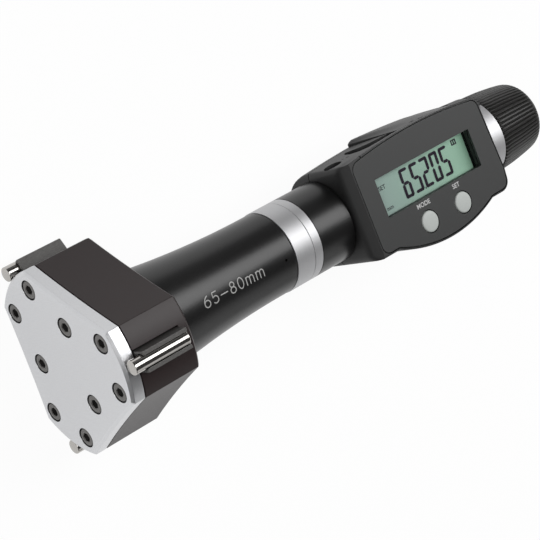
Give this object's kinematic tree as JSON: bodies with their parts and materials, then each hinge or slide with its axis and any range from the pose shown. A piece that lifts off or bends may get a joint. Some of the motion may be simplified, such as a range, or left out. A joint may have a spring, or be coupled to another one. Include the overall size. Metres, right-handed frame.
{
  "type": "inside micrometer",
  "caption": "Digital inside micrometer with a rounded-triangle head, sliding anvils, a flared barrel, a display housing and a fluted thimble.",
  "frame": {"origin": "centre of the front plate's outer face, on the tool's axis", "axes": "+X along the tool from the front plate towards the thimble, +Z along the upper anvil, the display looking up"},
  "size_m": [0.1915, 0.058, 0.0545],
  "materials": {
    "plate_steel": "satin ground steel",
    "screw_steel": "black oxide steel",
    "head_coating": "satin dark brown-black coating on steel",
    "anvil_steel": "matte hardened steel",
    "pin_carbide": "polished carbide",
    "ground_steel": "ground steel",
    "black_anodised": "satin black anodised aluminium",
    "turned_aluminium": "fine turned aluminium",
    "housing_plastic": "finely textured black moulding",
    "fascia_film": "matte dark grey film",
    "window_glass": "clear window",
    "lcd_green": "green-grey liquid crystal cell",
    "board_green": "lacquered circuit board",
    "button_grey": "smooth light grey moulding",
    "dome_steel": "bright stainless steel",
    "thimble_black": "black anodised, fluted",
    "nut_bronze": "turned bronze",
    "end_cap_grey": "satin grey anodised"
  },
  "bodies": {
    "frame": {"front_plate": "plate_steel", "plate_screw_1": "screw_steel", "plate_screw_2": "screw_steel", "plate_screw_3": "screw_steel", "plate_screw_4": "screw_steel", "plate_screw_5": "screw_steel", "plate_screw_6": "screw_steel", "plate_screw_7": "screw_steel", "plate_screw_8": "screw_steel", "plate_screw_9": "screw_steel", "head_body": "head_coating", "barrel": "black_anodised", "front_ring": "turned_aluminium", "rear_ring": "turned_aluminium", "collar": "black_anodised", "core_tube": "ground_steel", "housing_front": "housing_plastic", "housing_back": "housing_plastic", "fascia": "fascia_film", "lcd_window": "window_glass", "lcd_cell": "lcd_green", "circuit_board": "board_green", "mode_dome": "dome_steel", "set_dome": "dome_steel", "battery_cover": "housing_plastic", "battery": "dome_steel", "case_screw_1": "screw_steel", "case_screw_2": "screw_steel", "guide_nut": "nut_bronze", "encoder_stator": "board_green"},
    "spindle": {"measuring_cone": "ground_steel", "push_rod": "ground_steel"},
    "thimble": {"thimble": "thimble_black", "thimble_sleeve": "turned_aluminium", "micrometer_screw": "ground_steel", "end_cap": "end_cap_grey"},
    "encoder": {"encoder_rotor": "nut_bronze"},
    "anvil_1": {"anvil_1": "anvil_steel", "contact_pin_1": "pin_carbide"},
    "anvil_2": {"anvil_2": "anvil_steel", "contact_pin_2": "pin_carbide"},
    "anvil_3": {"anvil_3": "anvil_steel", "contact_pin_3": "pin_carbide"},
    "mode_key": {"mode_button": "button_grey"},
    "set_key": {"set_button": "button_grey"}
  },
  "joints": [
    {"name": "spindle_slide", "type": "slide", "parent": "frame", "child": "spindle", "axis": [-1, 0, 0], "range_m": [-0.0001, 0.0074]},
    {"name": "thimble_spin", "type": "hinge", "parent": "spindle", "child": "thimble", "pos_m": [0.17765, 0, 0], "axis": [-1, 0, 0], "range_deg": [-73.8, 5326.2]},
    {"name": "encoder_spin", "type": "hinge", "parent": "frame", "child": "encoder", "pos_m": [0.1208, 0, 0], "axis": [-1, 0, 0], "range_deg": [-73.8, 5326.2]},
    {"name": "anvil_1_slide", "type": "slide", "parent": "frame", "child": "anvil_1", "axis": [0, 0.866, -0.5], "range_m": [-0.0001, 0.0074]},
    {"name": "anvil_2_slide", "type": "slide", "parent": "frame", "child": "anvil_2", "axis": [0, 0, 1], "range_m": [-0.0001, 0.0074]},
    {"name": "anvil_3_slide", "type": "slide", "parent": "frame", "child": "anvil_3", "axis": [0, -0.866, -0.5], "range_m": [-0.0001, 0.0074]},
    {"name": "mode_press", "type": "slide", "parent": "frame", "child": "mode_key", "axis": [0, -0.0785, -0.9969], "range_m": [0, 0.0004], "stiffness_N_per_m": 2500, "springref_m": -0.0002},
    {"name": "set_press", "type": "slide", "parent": "frame", "child": "set_key", "axis": [0, -0.0785, -0.9969], "range_m": [0, 0.0004], "stiffness_N_per_m": 2500, "springref_m": -0.0002}
  ],
  "couplings": [
    {"joint": "thimble_spin", "follows": "spindle_slide", "rad_per_m": 12566},
    {"joint": "encoder_spin", "follows": "spindle_slide", "rad_per_m": 12566},
    {"joint": "anvil_1_slide", "follows": "spindle_slide", "ratio": 1},
    {"joint": "anvil_2_slide", "follows": "spindle_slide", "ratio": 1},
    {"joint": "anvil_3_slide", "follows": "spindle_slide", "ratio": 1}
  ]
}
